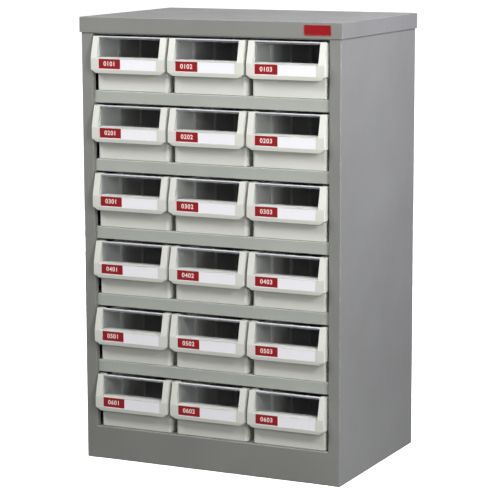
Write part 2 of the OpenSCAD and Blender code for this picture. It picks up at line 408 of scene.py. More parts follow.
@dataclass(frozen=True)
class Plating(Look):
    """Zinc plating on small steel screws."""

    roughness: float = 0.38
    bloom: float = 1.5 * MM
    bloom_depth: float = 0.2
    pit: float = 0.4 * MM
    pit_height: float = 0.01 * MM

    def make(self) -> bpy.types.Material:
        """Builds the finish from nodes.

        Returns:
            The material.
        """
        recipe = Recipe(self.name)
        bloom = recipe.noise(self.bloom, 3.0)
        return recipe.surface(
            Base_Color=recipe.mix(bloom.over(0.35, 0.7), self.colour, self.shade(0.72)),
            Metallic=1.0,
            Roughness=bloom.over(0.3, 0.7).about(self.roughness, self.bloom_depth),
            Normal=recipe.bump(recipe.noise(self.pit, 1.0), 0.3, self.pit_height),
        )


class Finish(Enum):
    """Every finish on the cabinet, with the record's slot that it belongs to."""

    BODY = (Enamel("enamel_body", srgb(131, 132, 128), srgb(152, 153, 150)), "body_enamel")
    SHELF = (Enamel("enamel_shelf", srgb(166, 170, 163), srgb(196, 199, 195)), "shelf_enamel")
    BIN = (Moulding("moulded_ivory", srgb(214, 215, 207), srgb(190, 188, 178)), "bin_ivory")
    # The window's second colour is the near-white painted highlight along its bead and rims.
    WINDOW = (Clear("clear_styrene", srgb(214, 218, 224), srgb(250, 250, 255)), "window_clear")
    BADGE = (Enamel("enamel_red", srgb(146, 18, 26), srgb(178, 52, 58), 0.3, 0.8 * MM), "badge_red")
    SCREW = (Plating("zinc_plating", srgb(188, 189, 190)), "zinc")
    LABEL = (Card("label_card", srgb(242, 242, 246)), None)
    TAG = (Card("tag_red", srgb(150, 20, 28), 0.32), None)
    FIGURES = (Card("tag_figures", srgb(246, 232, 228), 0.4), None)

    @cache
    def material(self) -> bpy.types.Material:
        """The finish's material, built the first time that it is asked for."""
        return self.value[0].make()

    def dress(self, item: bpy.types.Object) -> None:
        """Gives an object this finish alone."""
        item.data.materials.clear()
        item.data.materials.append(self.material())


# ---- the bench: modelling by operators ----


class Part(Enum):
    """What is chosen in edit mode."""

    POINTS = "vertices"
    EDGES = "edges"
    FACES = "polygons"


def anywhere(middle: Vector, course: Vector) -> bool:
    """A test that everything passes."""
    return True


def along(axis: int) -> Test:
    """A test for edges that run along X, Y or Z, given as 0, 1 or 2."""
    return lambda middle, course: abs(course[axis]) > ALONG


class Piece:
    """One object on the bench. Each step is done with nothing else selected."""

    def __init__(self, item: bpy.types.Object) -> None:
        """Takes up an object."""
        self.item = item

    @property
    def mesh(self) -> bpy.types.Mesh:
        """The piece's mesh."""
        return self.item.data

    @staticmethod
    def clear() -> None:
        """Deselects everything."""
        for item in bpy.context.selected_objects:
            item.select_set(False)

    def alone(self) -> None:
        """Selects this piece alone and makes it active."""
        self.clear()
        bpy.context.view_layer.objects.active = self.item
        self.item.select_set(True)

    @classmethod
    def added(cls, name: str, add: Callable, stretch: Point = WHITE, **settings: object) -> "Piece":
        """Adds a primitive.

        Args:
            name: The piece's name.
            add: The operator that adds it.
            stretch: How much it is stretched along each axis.
            **settings: The operator's settings.

        Returns:
            The piece, with its place and size in its mesh.
        """
        cls.clear()
        add(**settings)
        piece = cls(bpy.context.object)
        piece.item.name = name
        piece.item.scale = stretch
        bpy.ops.object.transform_apply(location=True, rotation=True, scale=True)
        return piece

    @classmethod
    def block(cls, name: str, low: Point, high: Point) -> "Piece":
        """A box between its lowest and its highest corner."""
        middle, size = zip(*(((a + b) / 2, b - a) for a, b in zip(low, high)))
        return cls.added(name, bpy.ops.mesh.primitive_cube_add, size, size=1.0, location=middle)

    def _spot(self, element: bpy.types.bpy_struct) -> tuple[Vector, Vector]:
        """Where an element is.

        Args:
            element: A point, edge or face of the mesh.

        Returns:
            Its middle, and its normal or an edge's direction.
        """
        if isinstance(element, bpy.types.MeshEdge):
            start, end = (self.mesh.vertices[i].co for i in element.vertices)
            return (start + end) / 2, (end - start).normalized()
        middle = element.center if isinstance(element, bpy.types.MeshPolygon) else element.co
        return middle, element.normal

    @contextmanager
    def editing(self, part: Part, test: Test = anywhere) -> Iterator[None]:
        """Edit mode, with the points, edges or faces selected that pass a test.

        Args:
            part: What is selected.
            test: Its test, on the middle and on the normal or an edge's direction.
        """
        self.alone()
        for other in Part:
            elements = getattr(self.mesh, other.value)
            elements.foreach_set("select", [other is part and test(*self._spot(e)) for e in elements])
        bpy.context.tool_settings.mesh_select_mode = tuple(other is part for other in Part)
        bpy.ops.object.mode_set(mode="EDIT")
        yield
        bpy.ops.object.mode_set(mode="OBJECT")

    def slice(self, place: Point, normal: Point, drop: bool = False) -> None:
        """Cuts the piece along a plane, and may drop the side that the normal points to."""
        with self.editing(Part.FACES):
            bpy.ops.mesh.bisect(plane_co=place, plane_no=normal, use_fill=drop, clear_outer=drop)

    def shift(self, test: Test, offset: Point) -> None:
        """Moves the points that pass a test."""
        with self.editing(Part.POINTS, test):
            bpy.ops.transform.translate(value=offset)

    def round_edges(self, test: Test, radius: float, segments: int) -> None:
        """Rounds the edges that pass a test."""
        with self.editing(Part.EDGES, test):
            bpy.ops.mesh.bevel(offset=radius, segments=segments, affect="EDGES", clamp_overlap=True)

    def outwards(self) -> None:
        """Turns every face outwards."""
        with self.editing(Part.FACES):
            bpy.ops.mesh.normals_make_consistent(inside=False)

    def modify(self, kind: str, **settings: object) -> None:
        """Adds a modifier and applies it.

        Args:
            kind: The modifier's type.
            **settings: The modifier's attributes.
        """
        self.alone()
        modifier = self.item.modifiers.new(kind.lower(), kind)
        for key, value in settings.items():
            setattr(modifier, key, value)
        bpy.ops.object.modifier_apply(modifier=modifier.name)

    def soften(self, radius: float, segments: int = 2, angle: float = 40.0) -> None:
        """Rounds every edge sharper than an angle in degrees."""
        limit = math.radians(angle)
        self.modify("BEVEL", width=radius, segments=segments, limit_method="ANGLE", angle_limit=limit)

    def smooth(self, angle: float = 40.0) -> None:
        """Smooth shading up to an angle in degrees, with broad faces kept flat."""
        self.alone()
        bpy.ops.object.shade_smooth_by_angle(angle=math.radians(angle))
        self.modify("WEIGHTED_NORMAL", keep_sharp=True, weight=80)

    def mark_edges(self, narrow: float = 1.0 * MM, low: float = math.inf) -> None:
        """Writes each point's edge mask, shown as rubbed edges and on the window as a painted highlight: 1
        where every face around it is narrow, as along a rounded edge.

        Args:
            narrow: How narrow a face is that belongs to an edge.
            low: The height above which every point is marked, which gives the window's bead its painted
                highlight.
        """
        points = [v.co for v in self.mesh.vertices]
        # 1 marks a point for rubbed edges, and on the window for the painted highlight.
        worn = [1.0] * len(points)
        for face in self.mesh.polygons:
            corners = [points[i] for i in face.vertices]
            longest = max((a - b).length for a, b in zip(corners, corners[1:] + corners[:1]))
            if face.area > narrow * longest:
                for i in face.vertices:
                    worn[i] = float(points[i].z > low)
        self.mesh.attributes.new(WEAR_AND_HIGHLIGHT, "FLOAT", "POINT").data.foreach_set("value", worn)

    def cut(self, cutter: "Piece", operation: str = "DIFFERENCE") -> None:
        """Cuts the piece with another, which is then removed."""
        self.modify("BOOLEAN", object=cutter.item, operation=operation, solver="EXACT")
        bpy.data.objects.remove(cutter.item)

    def join(self, name: str, others: Iterable["Piece"]) -> "Piece":
        """Takes in other pieces.

        Args:
            name: The name of the whole.
            others: The pieces to take in.

        Returns:
            The whole.
        """
        self.alone()
        for other in others:
            other.item.select_set(True)
        bpy.ops.object.join()
        self.item.name = name
        return self

    def move(self, offset: Point) -> None:
        """Moves the piece within its mesh."""
        self.mesh.transform(Matrix.Translation(offset))

    def flip(self) -> None:
        """Mirrors the piece across X = 0, its faces turned outwards."""
        self.mesh.transform(Matrix.Scale(-1, 4, (1, 0, 0)))
        self.outwards()

    def copy(self, name: str, offset: Point = (0.0, 0.0, 0.0)) -> "Piece":
        """Copies the piece.

        Args:
            name: The copy's name.
            offset: How far it is moved.

        Returns:
            The copy, with its own mesh.
        """
        twin = Piece(bpy.data.objects.new(name, self.mesh.copy()))
        twin.mesh.name = name
        bpy.context.scene.collection.objects.link(twin.item)
        twin.move(offset)
        return twin

    def mirrored(self, name: str) -> "Piece":
        """A copy mirrored across X = 0."""
        twin = self.copy(name)
        twin.flip()
        return twin

    def settle(self, finish: Finish, body: str, *nodes: str) -> None:
        """Dresses the finished piece, sets it on its body and reports it.

        Args:
            finish: Its finish.
            body: The body that it rides on.
            *nodes: The CAD nodes that it stands for.
        """
        finish.dress(self.item)
        if WEAR_AND_HIGHLIGHT not in self.mesh.attributes:
            self.mark_edges()
        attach(self.item, body)
        if nodes:
            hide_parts(*nodes)
        log.info("%s on %s: %d faces", self.item.name, body, len(self.mesh.polygons))


@dataclass
class FoldedSheet:
    """A strip of sheet steel folded along a path."""

    thickness: float = 1.0 * MM
    radius: float = 2.5 * MM
    steps: int = 5
    burr: float = 0.18 * MM

    def fold(
        self, name: str, path: Sequence[tuple[float, float]], start: float, end: float, upright: bool = False
    ) -> Piece:
        """Folds a sheet.

        Args:
            name: The piece's name.
            path: Points of the outer face, in Y and Z, or in X and Y if upright. The sheet lies to its left.
            start: Where the strip starts, along X, or along Z if upright.
            end: Where it ends.
            upright: Whether the folds run along Z.

        Returns:
            The sheet, with round folds and its cut edges broken.
        """
        corners = [Vector(point) for point in path]
        run = corners[1] - corners[0]
        sheet = Piece.added(
            name,
            bpy.ops.mesh.primitive_plane_add,
            (end - start, run.length, 1),
            size=1.0,
            location=((start + end) / 2, *(corners[0] + corners[1]) / 2),
            rotation=(math.atan2(run.y, run.x), 0, 0),
        )
        with sheet.editing(Part.EDGES, self._at(corners[1:2])):
            for here, there in zip(corners[1:], corners[2:]):
                bpy.ops.mesh.extrude_edges_move(TRANSFORM_OT_translate={"value": (0.0, *(there - here))})
        sheet.round_edges(self._at(corners[1:-1]), self.radius, self.steps)
        if upright:
            sheet.mesh.transform(Matrix(((0, 1, 0, 0), (0, 0, 1, 0), (1, 0, 0, 0), (0, 0, 0, 1))))
        sheet.modify("SOLIDIFY", thickness=self.thickness, offset=1.0, use_even_offset=True)
        sheet.outwards()
        self.deburr(sheet)
        return sheet

    def deburr(self, sheet: Piece) -> None:
        """Breaks a sheet's cut edges and shades it smooth."""
        sheet.soften(self.burr, 2, 60.0)
        sheet.smooth()

    @staticmethod
    def _at(folds: Sequence[Vector]) -> Test:
        """A test for edges that lie on one of some folds, seen along X."""
        return lambda middle, course: any((middle.yz - fold).length < TINY for fold in folds)


# ---- the cabinet's own sizes ----


class Layout:
    """Places that the sub-assemblies share, read from the frame."""

    def __init__(self, rows: int = 6, columns: int = 3) -> None:
        """Reads the body's planes from the left side panel and the top rail.

        Args:
            rows: How many rows of drawers there are.
            columns: How many drawers stand side by side.
        """
        self.rows = rows
        self.columns = columns
        low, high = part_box("left_side_panel")
        self.left, self.front = low.x, low.y
        self.back, self.wall_top = high.y, high.z
        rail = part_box("top_front_rail")[1]
        self.opening, self.rail_back = rail.x, rail.y

    def bays(self) -> Iterable[tuple[int, int, Vector]]:
        """Goes through the bays.

        Returns:
            Each bay's row, column and local origin in turn.
        """
        for row in range(1, self.rows + 1):
            for column in range(1, self.columns + 1):
                low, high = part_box(f"drawer_bin_r{row}c{column}")
                yield row, column, Vector(((low.x + high.x) / 2, self.front, low.z))

    def deck(self, row: int) -> float:
        """The height at which a row's drawers stand."""
        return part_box(f"drawer_bin_r{row}c1")[0].z


@dataclass
class Carcass:
    """The folded sheet-steel body."""

    layout: Layout
    sheet: FoldedSheet = field(default_factory=FoldedSheet)
    stile_return: float = 12 * MM
    rear_flange: float = 18 * MM
    plinth_return: float = 15 * MM
    shelf_flange: float = 15 * MM
    rail_upturn: float = 8 * MM
    dressed_seam: float = 2.2 * MM

    def build(self) -> None:
        """Builds and dresses every sheet of the body."""
        self.sides()
        self.front_rails()
        for row in range(1, self.layout.rows):
            self.shelf(row)
        self.plain_nodes()

    def sides(self) -> None:
        """The two side panels, each with stile, inner return and rear flange."""
        place = self.layout
        outline = [
            (place.left + self.rear_flange, place.back),
            (place.left, place.back),
            (place.left, place.front),
            (-place.opening, place.front),
            (-place.opening, place.front + self.stile_return),
        ]
        left = self.sheet.fold("side_panel_left", outline, 0.0, place.wall_top, upright=True)
        right = left.mirrored("side_panel_right")
        right.smooth()
        left.settle(Finish.BODY, "cabinet", "left_side_panel")
        right.settle(Finish.BODY, "cabinet", "right_side_panel")

    def rail_end(self, low: float) -> list[tuple[float, float]]:
        """The end of a rail's path, behind its lower edge."""
        return [(self.layout.rail_back, low), (self.layout.rail_back, low + self.rail_upturn)]

    def front_rails(self) -> None:
        """The top front rail and the plinth, both flush with the stiles, their seams filled and dressed."""
        front, seam = self.layout.front, self.dressed_seam
        back = front + self.plinth_return
        low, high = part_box("top_front_rail")
        outline = [(back, high.z), (front, high.z), (front, low.z), *self.rail_end(low.z)]
        rail = self.sheet.fold("rail_top_front", outline, low.x - seam, high.x + seam)
        rail.settle(Finish.BODY, "cabinet", "top_front_rail")
        low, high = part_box("plinth_panel")
        outline = [(back, high.z - self.shelf_flange), (back, high.z), (front, high.z)]
        outline += [(front, low.z), (back, low.z)]
        plinth = self.sheet.fold("plinth", outline, low.x - seam, high.x + seam)
        plinth.settle(Finish.BODY, "cabinet", "plinth_panel")

    def shelf(self, row: int) -> None:
        """The shelf under a row, with its rail and its side strips.

        Args:
            row: The row.
        """
        low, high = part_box(f"shelf_{row}")
        deck, opening = self.layout.deck(row), self.layout.opening
        outline = [(high.y, deck - self.shelf_flange), (high.y, deck), (low.y, deck), (low.y, low.z)]
        shelf = self.sheet.fold("shelf_middle", outline + self.rail_end(low.z), -opening, opening)
        shelf.join(f"shelf_with_rail_{row}", [self.strip(side, high, deck) for side in (-1, 1)])
        shelf.settle(Finish.SHELF, "cabinet", f"shelf_{row}")

    def strip(self, side: int, high: Vector, deck: float) -> Piece:
        """The part of a shelf behind one stile, with the flange on the side panel.

        Args:
            side: -1 for the left and 1 for the right.
            high: The shelf's highest corner.
            deck: The height of its upper face.

        Returns:
            The strip.
        """
        sheet, flange = self.sheet.thickness, self.shelf_flange
        inner, outer = self.layout.opening, high.x
        start, end = self.layout.front + self.stile_return, high.y - self.sheet.radius
        strip = Piece.block("shelf_strip", (inner, start, deck - flange), (outer, end, deck))
        low = (inner - sheet, start - sheet, deck - 2 * flange)
        strip.cut(Piece.block("strip_cutter", low, (outer - sheet, end + sheet, deck - sheet)))
        if side < 0:
            strip.flip()
        return strip

    def plain_nodes(self) -> None:
        """Dresses the nodes whose shape stays as it is."""
        for name in ("back_panel", "top_rear_rail", "base_rear_rail"):
            Finish.BODY.dress(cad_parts[name])
        guides = [f"drawer_guides_row_{row}" for row in range(1, self.layout.rows + 1)]
        for name in ("base_deck", *guides):
            Finish.SHELF.dress(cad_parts[name])


@dataclass
class Cover:
    """The folded tray on top, with its badge plate."""

    sheet: FoldedSheet = field(default_factory=FoldedSheet)
    corner: float = 1.2 * MM
    badge_corner: float = 2.2 * MM
    badge_border: float = 1.1 * MM
    badge_sunk: float = 0.25 * MM
    badge_edge: float = 0.15 * MM

    def build(self) -> None:
        """Builds the cover and its plate."""
        self.tray()
        self.badge()

    def tray(self) -> None:
        """The cover: a shallow box with no bottom."""
        low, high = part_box("top_cover")
        tray = Piece.block("cover_tray", low, high)
        tray.round_edges(along(2), self.corner, 3)
        tray.round_edges(lambda p, _: p.z > high.z - TINY, self.sheet.radius, self.sheet.steps)
        with tray.editing(Part.FACES, lambda _, normal: normal.z < -ALONG):
            bpy.ops.mesh.delete(type="FACE")
        tray.modify("SOLIDIFY", thickness=self.sheet.thickness, offset=-1.0, use_even_offset=True)
        self.sheet.deburr(tray)
        tray.settle(Finish.BODY, "cabinet", "top_cover")

    def badge(self) -> None:
        """The bare plate, with a raised border."""
        plate = Piece.block("badge_plate", *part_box("cover_badge"))
        plate.round_edges(along(1), self.badge_corner, 5)
        with plate.editing(Part.FACES, lambda _, normal: normal.y < -ALONG):
            bpy.ops.mesh.inset(thickness=self.badge_border)
            bpy.ops.mesh.inset(thickness=self.badge_sunk, depth=-self.badge_sunk)
        plate.soften(self.badge_edge, 2, 30.0)
        plate.smooth()
        plate.settle(Finish.BADGE, "cabinet", "cover_badge")


@dataclass
class BackScrews:
    """Pan-head screws with a cross recess along the rear flanges."""

    layout: Layout
    head_radius: float = 3.6 * MM
    head_height: float = 2.0 * MM
    head_crown: float = 1.1 * MM
    shank_radius: float = 1.6 * MM
    shank: float = 8.0 * MM
    slot: tuple[float, float] = (0.8 * MM, 3.8 * MM)
    slot_depth: float = 1.2 * MM

    def build(self) -> None:
        """Models one screw and copies it to each hole."""
        model = self.screw()
        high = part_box("back_panel_screws")[1]
        copies = []
        for row in range(1, self.layout.rows + 1):
            height = self.layout.deck(row) - self.layout.deck(1) + high.z - self.head_radius
            for side in (-1, 1):
                place = (side * (high.x - self.head_radius), self.layout.back, height)
                copies.append(model.copy(f"screw_{row}_{side}", place))
        bpy.data.objects.remove(model.item)
        screws = copies[0].join("screws_back_panel", copies[1:])
        screws.settle(Finish.SCREW, "cabinet", "back_panel_screws")

    @staticmethod
    def bar(name: str, radius: float, end: float, vertices: int) -> Piece:
        """A round bar from the origin along Y.

        Args:
            name: Its name.
            radius: Its radius.
            end: Where it ends.
            vertices: How many points its circle has.

        Returns:
            The bar.
        """
        return Piece.added(
            name,
            bpy.ops.mesh.primitive_cylinder_add,
            vertices=vertices,
            radius=radius,
            depth=abs(end),
            location=(0, end / 2, 0),
            rotation=(math.pi / 2, 0, 0),
        )

    def screw(self) -> Piece:
        """One screw at the origin, its head towards +Y.

        Returns:
            The screw.
        """
        top = self.head_height
        head = self.bar("head", self.head_radius, top, 32)
        head.round_edges(lambda p, _: p.y > top - TINY, self.head_crown, 4)
        for wide, high in (self.slot, self.slot[::-1]):
            low = (-wide / 2, top - self.slot_depth, -high / 2)
            head.cut(Piece.block("recess", low, (wide / 2, 2 * top, high / 2)))
        shank = self.bar("shank", self.shank_radius, -self.shank, 16)
        for part in (head, shank):
            part.smooth(30.0)
        return head.join("screw", [shank])


@dataclass
class Drawer:
    """One drawer: a moulded bin with its hood, window, label card and number tag."""

    wall: float = 2.5 * MM
    half_width: float = 82.5 * MM
    front: float = 7 * MM
    rear: float = 382 * MM
    height: float = 104 * MM
    corner: float = 7 * MM
    floor_fillet: float = 2.25 * MM
    floor_edge: float = 1.6 * MM
    tub_edge: float = 0.6 * MM
    rim: float = 2.5 * MM
    rim_height: float = 3 * MM
    lug_start: float = 302 * MM
    lug_length: float = 26 * MM
    lug_top: float = 125.8 * MM
    lug_top_length: float = 6 * MM
    rib: float = 2 * MM
    rib_depth: float = 4 * MM
    rib_slot: float = 3 * MM
    slots: int = 3
    slot_inset: float = 86 * MM
    slot_pitch: float = 96 * MM
    small_edge: float = 0.4 * MM
    hood_half: float = 85.5 * MM
    hood_top: float = 113 * MM
    hood_reach: float = 14 * MM
    hood_top_reach: float = 2.5 * MM
    hood_back: float = 13.5 * MM
    hood_edge: float = 0.5 * MM
    lip: float = 37.5 * MM
    lip_run: float = 1.5 * MM
    label_low: float = 44.5 * MM
    crease: float = 68 * MM
    crease_cut: float = 0.3 * MM
    sill: float = 70 * MM
    sill_slope: float = 0.8
    cheek: float = 14 * MM
    chamfer: tuple[float, float] = (11 * MM, 10 * MM)
    label_half: float = 67 * MM
    label_sunk: float = 0.8 * MM
    label_edge: float = 0.8 * MM
    notch: float = 9 * MM
    notch_low: float = 68.3 * MM
    notch_past: float = 1.5 * MM
    pane: float = 2 * MM
    pane_slack: float = 0.2 * MM
    groove: float = 1.3 * MM
    groove_rise: float = 0.5 * MM
    bead: float = 5 * MM
    # Height of the strip along the bead's top that gets the window's painted highlight.
    bead_highlight: float = 0.5 * MM
    card: float = 0.35 * MM
    card_slack: float = 0.3 * MM
    paper_edge: float = 0.08 * MM
    tag: float = 0.25 * MM
    tag_size: tuple[float, float] = (50 * MM, 20 * MM)
    tag_low: float = 47 * MM
    tag_inset: float = 0.4 * MM
    tag_corner: float = 0.8 * MM
    figure_height: float = 9.2 * MM
    figure_depth: float = 0.06 * MM
    figure_weight: float = 0.25 * MM
    figure_spacing: float = 1.12
    capital: float = 0.72

    @property
    def window_half(self) -> float:
        """Half the width of the window's opening."""
        return self.hood_half - self.cheek

    @property
    def far(self) -> float:
        """A reach that takes a cutter clear of the hood."""
        return 4 * self.hood_back

    # -- tub --

    def tub(self) -> Piece:
        """The open bin: floor, walls and turned-out rim.

        Returns:
            The tub.
        """
        half, wall = self.half_width, self.wall
        tub = Piece.block("tub", (-half, self.front, 0.0), (half, self.rear, self.height))
        tub.round_edges(along(2), self.corner, 7)
        with tub.editing(Part.FACES, lambda _, normal: normal.z > ALONG):
            bpy.ops.mesh.inset(thickness=wall)
            bpy.ops.mesh.extrude_region_move(TRANSFORM_OT_translate={"value": (0, 0, wall - self.height)})
        tub.round_edges(lambda p, _: abs(p.z - wall) < TINY, self.floor_fillet, 3)
        tub.round_edges(lambda p, _: p.z < TINY, self.floor_edge, 3)
        self.turn_rim(tub)
        half, back = self.window_half + wall / 2, self.front + self.corner + self.rim
        tub.cut(Piece.block("front_cutter", (-half, 0.0, self.sill), (half, back, 2 * self.height)))
        tub.soften(self.tub_edge, 2, 50.0)
        return tub

    def turn_rim(self, tub: Piece) -> None:
        """Turns the top of the walls outwards into a rim.

        Args:
            tub: The tub.
        """
        under, centre = self.height - self.rim_height, (self.front + self.rear) / 2
        tub.slice((0, 0, under), (0, 0, 1))

        def outside(middle: Vector, normal: Vector) -> bool:
            """Whether a face is on the outer side of the wall, above the cut."""
            away = Vector((middle.x, middle.y - centre, 0))
            return middle.z > under and abs(normal.z) < 1 - ALONG and normal.dot(away) > 0

        turn = {"value": self.rim, "use_even_offset": True}
        with tub.editing(Part.FACES, outside):
            bpy.ops.mesh.extrude_region_shrink_fatten(TRANSFORM_OT_shrink_fatten=turn)

    def lug(self) -> Piece:
        """The stop lug on the right wall, sloped behind so that the bin goes in.

        Returns:
            The lug.
        """
        inner, start = self.half_width - self.wall, self.lug_start
        low = (inner, start, self.height - self.rim_height)
        lug = Piece.block("lug", low, (self.half_width, start + self.lug_length, self.lug_top))
        slope = start + self.lug_top_length
        high = (self.half_width + self.wall, start + 3 * self.lug_length, 2 * self.lug_top)
        cutter = Piece.block("lug_cutter", (inner - self.wall, slope, self.height), high)
        lean = math.atan2(self.lug_top - self.height, self.lug_length - self.lug_top_length)
        turn = Matrix.Translation((0, slope, self.lug_top)) @ Matrix.Rotation(-lean, 4, "X")
        cutter.mesh.transform(turn @ Matrix.Translation((0, -slope, -self.height)))
        lug.cut(cutter)
        lug.soften(self.small_edge)
        return lug

    def fittings(self) -> list[Piece]:
        """Stop lugs and divider ribs.

        Returns:
            Those of the right wall, then their mirrored copies for the left.
        """
        fitted = [self.lug()]
        inner, thick = self.half_width - self.wall, self.rib / 2
        top = self.height - self.rim_height - self.wall
        for slot in range(self.slots):
            for side in (-1, 1):
                middle = self.front + self.slot_inset + slot * self.slot_pitch
                middle += side * (self.rib_slot + self.rib) / 2
                low = (inner - self.rib_depth, middle - thick, self.wall / 2)
                rib = Piece.block("rib", low, (inner + self.wall / 2, middle + thick, top))
                rib.soften(self.small_edge)
                fitted.append(rib)
        return fitted + [piece.mirrored(piece.item.name) for piece in fitted]

    # -- hood --

    def hood(self) -> Piece:
        """The hood: two cheeks with the label panel and sill between them.

        Returns:
            The hood.
        """
        hood = self.hood_block()
        cutters = [self.window_cutter(), self.grip_cutter()]
        for side in (-1, 1):
            cutters += [self.cheek_cutter(side), self.groove_cutter(side)]
        for cutter in [*cutters, self.label_cutter(), self.notch_cutter()]:
            hood.cut(cutter)
        with hood.editing(Part.FACES):
            bpy.ops.mesh.dissolve_limited(angle_limit=math.radians(1))
        hood.soften(self.hood_edge, 2, 10.0)
        return hood

    def hood_block(self) -> Piece:
        """The hood's outside as a solid block.

        Returns:
            The block.
        """
        half, top, reach = self.hood_half, self.hood_top, self.hood_reach
        hood = Piece.block("hood", (-half, -reach, self.lip), (half, self.hood_back, top))
        for height in (self.label_low, self.crease):
            hood.slice((0, 0, height), (0, 0, 1))
        hood.shift(lambda p, _: p.y < 0 and p.z < self.lip + TINY, (0, self.lip_run, 0))
        hood.shift(lambda p, _: p.y < 0 and p.z > top - TINY, (0, reach - self.hood_top_reach, 0))
        wide, high = self.chamfer
        for side in (-1, 1):
            hood.slice((side * (half - wide), 0, self.lip), (side * high, 0, -wide), drop=True)
        return hood

    def window_cutter(self) -> Piece:
        """What opens the hood above the sill, with the slope down to the label panel's crease.

        Returns:
            The cutter.
        """
        half, reach, sill = self.window_half, self.hood_reach, self.sill
        cutter = Piece.block("window_cutter", (-half, -self.far, sill), (half, self.far, 2 * self.hood_top))
        for depth in (-reach, -self.pane / 2):
            cutter.slice((0, depth, 0), (0, 1, 0))
        drop = self.crease - self.crease_cut - sill
        cutter.shift(lambda p, _: p.y < TINY - reach and p.z < sill + TINY, (0, 0, drop))
        return cutter

    def grip_cutter(self) -> Piece:
        """What hollows the hood behind the label panel and under the sill.

        Returns:
            The cutter.
        """
        half, front, top = self.window_half, self.wall - self.hood_reach, self.sill - self.wall
        low, drop = 2 * self.lip - self.label_low, self.sill_slope * (self.crease - self.sill)
        cutter = Piece.block("grip_cutter", (-half, front, low), (half, self.far, top))
        cutter.slice((0, 0, self.label_low), (0, 0, 1))
        cutter.slice((0, -self.pane / 2, 0), (0, 1, 0))
        cutter.shift(lambda p, _: p.y < front + TINY and p.z > top - TINY, (0, 0, drop))
        cutter.shift(lambda p, _: p.y < front + TINY and p.z < low + TINY, (0, 2 * self.lip_run, 0))
        return cutter

    def cheek_cutter(self, side: int) -> Piece:
        """What hollows the cheek on one side.

        Args:
            side: -1 for the left and 1 for the right.

        Returns:
            The cutter.
        """
        wall, reach, top = self.wall, self.hood_reach, self.hood_top - self.wall
        inner, outer = sorted((side * (self.window_half + wall), side * (self.hood_half - wall)))
        cutter = Piece.block("cheek_cutter", (inner, 2 * wall - reach, 0.0), (outer, self.far, top))
        cutter.slice((0, 0, self.crease), (0, 0, 1))
        cutter.shift(lambda p, _: p.y < 0 and p.z > top - TINY, (0, reach - self.hood_top_reach, 0))
        return cutter

    def groove_cutter(self, side: int) -> Piece:
        """What cuts the pane's groove into the cheek on one side.

        Args:
            side: -1 for the left and 1 for the right.

        Returns:
            The cutter.
        """
        half, gap = self.window_half, self.pane / 2 + self.pane_slack
        inner, outer = sorted((side * (half - self.wall), side * (half + self.groove)))
        low = (inner, -gap, self.sill + self.groove_rise)
        return Piece.block("groove_cutter", low, (outer, gap, 2 * self.hood_top))

    def label_cutter(self) -> Piece:
        """What sinks the card's recess into the label panel."""
        low = (-self.label_half, -self.far, self.label_low + self.label_edge)
        high = (self.label_half, self.label_sunk - self.hood_reach, self.crease - self.label_edge)
        return Piece.block("label_cutter", low, high)

    def notch_cutter(self) -> Piece:
        """What notches the sill at the card's right end."""
        end = self.label_half + self.notch_past
        low = (end - self.notch, -self.far, self.notch_low)
        return Piece.block("notch_cutter", low, (end, -2 * self.pane, self.sill))

    def bin(self) -> Piece:
        """Tub, fittings and hood as one moulding.

        Returns:
            The bin.
        """
        moulding = self.tub()
        for extra in [*self.fittings(), self.hood()]:
            moulding.cut(extra, "UNION")
        moulding.smooth(32.0)
        return moulding

    # -- window, card and tag --

    def window(self) -> Piece:
        """The clear pane with the bead along its top.

        Returns:
            The window.
        """
        top = self.hood_top - self.bead
        wide, deep = self.window_half + self.groove, self.pane / 2
        pane = Piece.block("pane", (-wide, -deep, self.sill), (wide, deep, top))
        wide, deep = self.window_half - self.pane_slack, self.bead / 2
        pane.cut(Piece.block("bead", (-wide, -deep, top), (wide, deep, self.hood_top)), "UNION")
        pane.soften(self.small_edge)
        pane.smooth()
        # Marks the rounded edges and the bead's top strip, which the window's finish paints as a near-white
        # highlight.
        pane.mark_edges(low=self.hood_top - self.bead_highlight)
        return pane

    def label(self) -> Piece:
        """The card in its recess.

        Returns:
            The card.
        """
        half, back = self.label_half - self.card_slack, self.label_sunk - self.hood_reach
        margin = self.label_edge + self.card_slack
        low = (-half, back - self.card, self.label_low + margin)
        card = Piece.block("card", low, (half, back, self.crease - margin))
        with card.editing(Part.FACES):
            bpy.ops.mesh.subdivide(number_cuts=5)
        card.soften(self.paper_edge, 1, 60.0)
        card.smooth()
        return card

    def tag_plate(self) -> Piece:
        """The number tag stuck on the left end of the card.

        Returns:
            The tag.
        """
        back = self.label_sunk - self.hood_reach - self.card
        wide, high = self.tag_size
        start = self.tag_inset - self.label_half
        low = (start, back - self.tag, self.tag_low)
        plate = Piece.block("tag", low, (start + wide, back, self.tag_low + high))
        plate.round_edges(along(1), self.tag_corner, 4)
        plate.soften(self.paper_edge, 1, 60.0)
        plate.smooth()
        return plate

    def figures(self, name: str, text: str) -> Piece:
        """Plain figures on the tag.

        Args:
            name: The piece's name.
            text: The figures.

        Returns:
            The figures as a mesh.
        """
        Piece.clear()
        bpy.ops.object.text_add(location=(0, 0, 0))
        words = bpy.context.object
        words.data.body = text
        words.data.size = self.figure_height / self.capital
        words.data.align_x = "CENTER"
        words.data.align_y = "CENTER"
        words.data.space_character = self.figure_spacing
        words.data.offset = self.figure_weight
        words.data.extrude = self.figure_depth / 2
        bpy.ops.object.convert(target="MESH")
        words.name = name
        words.data.transform(Matrix.Rotation(math.pi / 2, 4, "X"))
        wide, high = self.tag_size
        middle = self.tag_inset - self.label_half + wide / 2
        face = self.label_sunk - self.hood_reach - self.card - self.tag
        figures = Piece(words)
        figures.move((middle, face - self.figure_depth / 2, self.tag_low + high / 2))
        return figures

